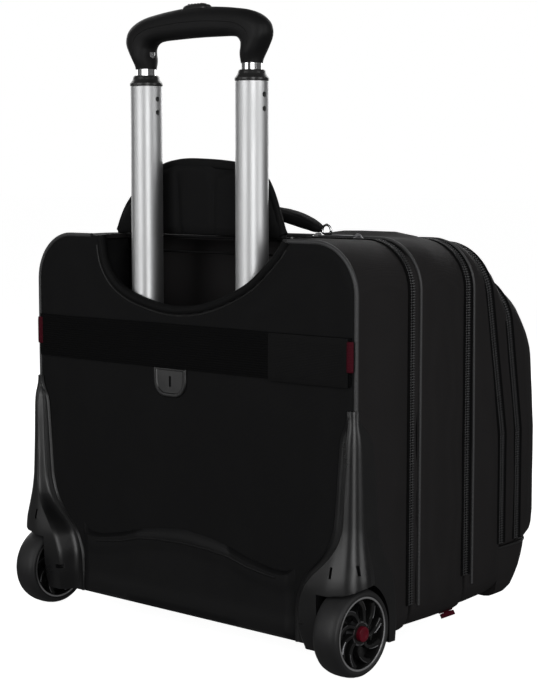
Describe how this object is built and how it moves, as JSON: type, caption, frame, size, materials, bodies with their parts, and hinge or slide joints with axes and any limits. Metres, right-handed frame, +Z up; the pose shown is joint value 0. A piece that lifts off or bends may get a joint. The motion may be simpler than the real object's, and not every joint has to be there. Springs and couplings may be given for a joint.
{
  "type": "rolling laptop case",
  "caption": "Upright two-wheeled laptop case with a telescopic pull handle in a recessed well, a padded carry handle, four zipped compartments and moulded wheel housings.",
  "frame": {"origin": "on the floor, under the middle of the whole object's box", "axes": "+Z up along the pull handle; +Y towards the wheels and the pull handle (rear); -Y towards the pockets (front); X across the case, along the wheel axles"},
  "size_m": [0.4248, 0.349, 0.5985],
  "materials": {
    "case_fabric": "black woven polyester",
    "lining": "dark smooth lining",
    "webbing": "black webbing",
    "moulding": "satin black moulded plastic",
    "board": "dark stiffening board",
    "grip_rubber": "soft-touch black",
    "button_plastic": "black plastic",
    "tyre": "dark grey tyre compound",
    "hub_plastic": "black and silver spoked wheel",
    "red_plastic": "crimson",
    "tube_aluminium": "satin anodised",
    "tube_chrome": "bright",
    "steel": "plain steel",
    "zip_coil": "black zip coil"
  },
  "bodies": {
    "case_back": {"rear_panel": "case_fabric", "rear_gusset": "case_fabric", "handle_well": "lining", "tube_bezel": "moulding", "frame_board": "board", "tube_foot_bracket": "moulding", "kick_plate": "moulding", "luggage_strap": "webbing", "strap_tab": "moulding", "guide_tube_left": "steel", "guide_tube_right": "steel", "wheel_housing_left": "moulding", "wheel_housing_right": "moulding", "axle_left": "steel", "axle_right": "steel", "bottom_panel": "case_fabric", "front_foot_left": "moulding", "front_foot_right": "moulding", "zip_chain_overnight": "zip_coil"},
    "wheel_left": {"tyre_left": "tyre", "hub_left": "hub_plastic", "bearing_left": "steel", "hub_cap_left": "red_plastic"},
    "wheel_right": {"tyre_right": "tyre", "hub_right": "hub_plastic", "bearing_right": "steel", "hub_cap_right": "red_plastic"},
    "handle_middle_stage": {"mid_tube_left": "tube_aluminium", "mid_tube_right": "tube_aluminium", "tube_collar_left": "moulding", "tube_collar_right": "moulding"},
    "handle_inner_stage": {"grip": "grip_rubber", "inner_tube_left": "tube_chrome", "inner_tube_right": "tube_chrome", "button_spring": "steel"},
    "release_button": {"grip_button": "button_plastic", "button_yoke": "moulding"},
    "latch_left": {"latch_pin_left": "steel"},
    "latch_right": {"latch_pin_right": "steel"},
    "well_flap": {"well_flap": "case_fabric"},
    "main_section": {"mid_shell": "case_fabric", "laptop_pad": "lining", "handle_ring_left": "tube_chrome", "handle_ring_right": "tube_chrome", "zip_chain_main": "zip_coil"},
    "carry_handle": {"carry_handle": "case_fabric"},
    "organiser_section": {"organiser_shell": "case_fabric", "pocket_base": "case_fabric", "zip_chain_organiser": "zip_coil"},
    "front_pocket": {"pocket_shell": "case_fabric", "zip_chain_pocket": "zip_coil"},
    "pocket_lid": {"pocket_lid": "case_fabric"},
    "slider_overnight": {"zip_slider_overnight": "steel"},
    "pull_overnight": {"zip_pull_overnight": "steel"},
    "slider_main": {"zip_slider_main": "steel"},
    "pull_main": {"zip_pull_main": "steel"},
    "slider_organiser": {"zip_slider_organiser": "steel"},
    "pull_organiser": {"zip_pull_organiser": "steel"},
    "slider_pocket": {"zip_slider_pocket": "steel"},
    "pull_pocket": {"zip_pull_pocket": "steel"}
  },
  "joints": [
    {"name": "left_wheel_spin", "type": "hinge", "parent": "case_back", "child": "wheel_left", "pos_m": [-0.197, 0.1345, 0.04], "axis": [1, 0, 0], "continuous": true},
    {"name": "right_wheel_spin", "type": "hinge", "parent": "case_back", "child": "wheel_right", "pos_m": [0.197, 0.1345, 0.04], "axis": [1, 0, 0], "continuous": true},
    {"name": "handle_lower_slide", "type": "slide", "parent": "case_back", "child": "handle_middle_stage", "axis": [0, 0, 1], "range_m": [-0.222, 0]},
    {"name": "handle_upper_slide", "type": "slide", "parent": "handle_middle_stage", "child": "handle_inner_stage", "axis": [0, 0, 1], "range_m": [0, 0.214]},
    {"name": "button_press", "type": "slide", "parent": "handle_inner_stage", "child": "release_button", "axis": [0, 0, -1], "range_m": [0, 0.0035], "stiffness_N_per_m": 600, "springref_m": -0.003, "deforming": ["button_spring"]},
    {"name": "left_latch_slide", "type": "slide", "parent": "handle_inner_stage", "child": "latch_left", "axis": [-1, 0, 0], "range_m": [0, 0.0018]},
    {"name": "right_latch_slide", "type": "slide", "parent": "handle_inner_stage", "child": "latch_right", "axis": [-1, 0, 0], "range_m": [0, 0.0018]},
    {"name": "well_flap_fold", "type": "hinge", "parent": "case_back", "child": "well_flap", "pos_m": [0, 0.095, 0.3816], "axis": [1, 0, 0], "range_deg": [0, 50]},
    {"name": "main_section_open", "type": "hinge", "parent": "case_back", "child": "main_section", "pos_m": [0, -0.112, 0.0254], "axis": [1, 0, 0], "range_deg": [0, 30]},
    {"name": "carry_handle_fold", "type": "hinge", "parent": "main_section", "child": "carry_handle", "pos_m": [0, 0.0305, 0.3876], "axis": [1, 0, 0], "range_deg": [-55, 55]},
    {"name": "organiser_section_open", "type": "hinge", "parent": "main_section", "child": "organiser_section", "pos_m": [0, -0.112, 0.0284], "axis": [1, 0, 0], "range_deg": [0, 30]},
    {"name": "front_pocket_open", "type": "hinge", "parent": "organiser_section", "child": "front_pocket", "pos_m": [0, -0.156, 0.0772], "axis": [1, 0, 0], "range_deg": [0, 25]},
    {"name": "pocket_lid_open", "type": "hinge", "parent": "front_pocket", "child": "pocket_lid", "pos_m": [0, -0.157, 0.0791], "axis": [1, 0, 0], "range_deg": [0, 35]},
    {"name": "overnight_zip_slide", "type": "slide", "parent": "case_back", "child": "slider_overnight", "axis": [1, 0, 0], "range_m": [0, 0.284]},
    {"name": "overnight_pull_swing", "type": "hinge", "parent": "slider_overnight", "child": "pull_overnight", "pos_m": [-0.142, 0.0565, 0.38405], "axis": [0, -1, 0], "range_deg": [0, 150]},
    {"name": "main_zip_slide", "type": "slide", "parent": "main_section", "child": "slider_main", "axis": [-1, 0, 0], "range_m": [0, 0.276]},
    {"name": "main_pull_swing", "type": "hinge", "parent": "slider_main", "child": "pull_main", "pos_m": [0.138, -0.0295, 0.38105], "axis": [0, 1, 0], "range_deg": [0, 150]},
    {"name": "organiser_zip_slide", "type": "slide", "parent": "organiser_section", "child": "slider_organiser", "axis": [-1, 0, 0], "range_m": [0, 0.276]},
    {"name": "organiser_pull_swing", "type": "hinge", "parent": "slider_organiser", "child": "pull_organiser", "pos_m": [0.138, -0.05719, 0.37605], "axis": [0, 1, 0], "range_deg": [0, 150]},
    {"name": "pocket_zip_slide", "type": "slide", "parent": "front_pocket", "child": "slider_pocket", "axis": [-1, 0, 0], "range_m": [0, 0.268]},
    {"name": "pocket_pull_swing", "type": "hinge", "parent": "slider_pocket", "child": "pull_pocket", "pos_m": [0.134, -0.0952, 0.34605], "axis": [0, 1, 0], "range_deg": [0, 150]}
  ],
  "couplings": [
    {"joint": "left_latch_slide", "follows": "button_press", "ratio": 0.5},
    {"joint": "right_latch_slide", "follows": "button_press", "ratio": 0.5}
  ]
}
